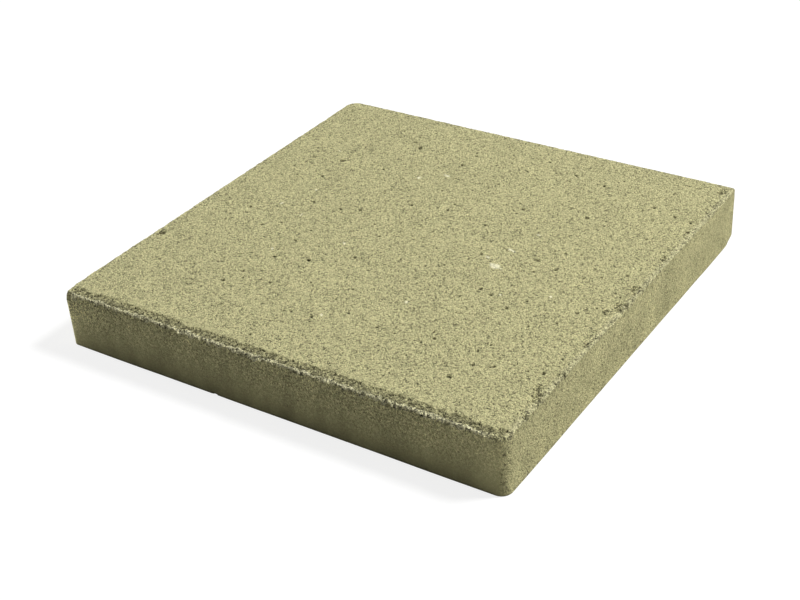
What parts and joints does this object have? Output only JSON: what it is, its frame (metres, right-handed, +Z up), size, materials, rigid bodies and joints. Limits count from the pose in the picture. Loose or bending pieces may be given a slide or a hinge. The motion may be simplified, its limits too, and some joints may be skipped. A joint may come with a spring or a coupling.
{
  "type": "concrete pillar cap",
  "caption": "Flat square cast concrete slab with rounded corners and a rough margin along one side of its pressed top, bedded on top of a brick pillar to shed rain.",
  "frame": {"origin": "middle of the underside, the face that is bedded on the pillar", "axes": "+Z up, out of the top face; X and Y along the sides of the square, with the rough margin at -X"},
  "size_m": [0.39, 0.39, 0.05],
  "materials": {
    "concrete": "dry-cast concrete, matt and sandy, with fine pores and a rough arris"
  },
  "bodies": {
    "root": {"cap_slab": "concrete"}
  },
  "joints": []
}
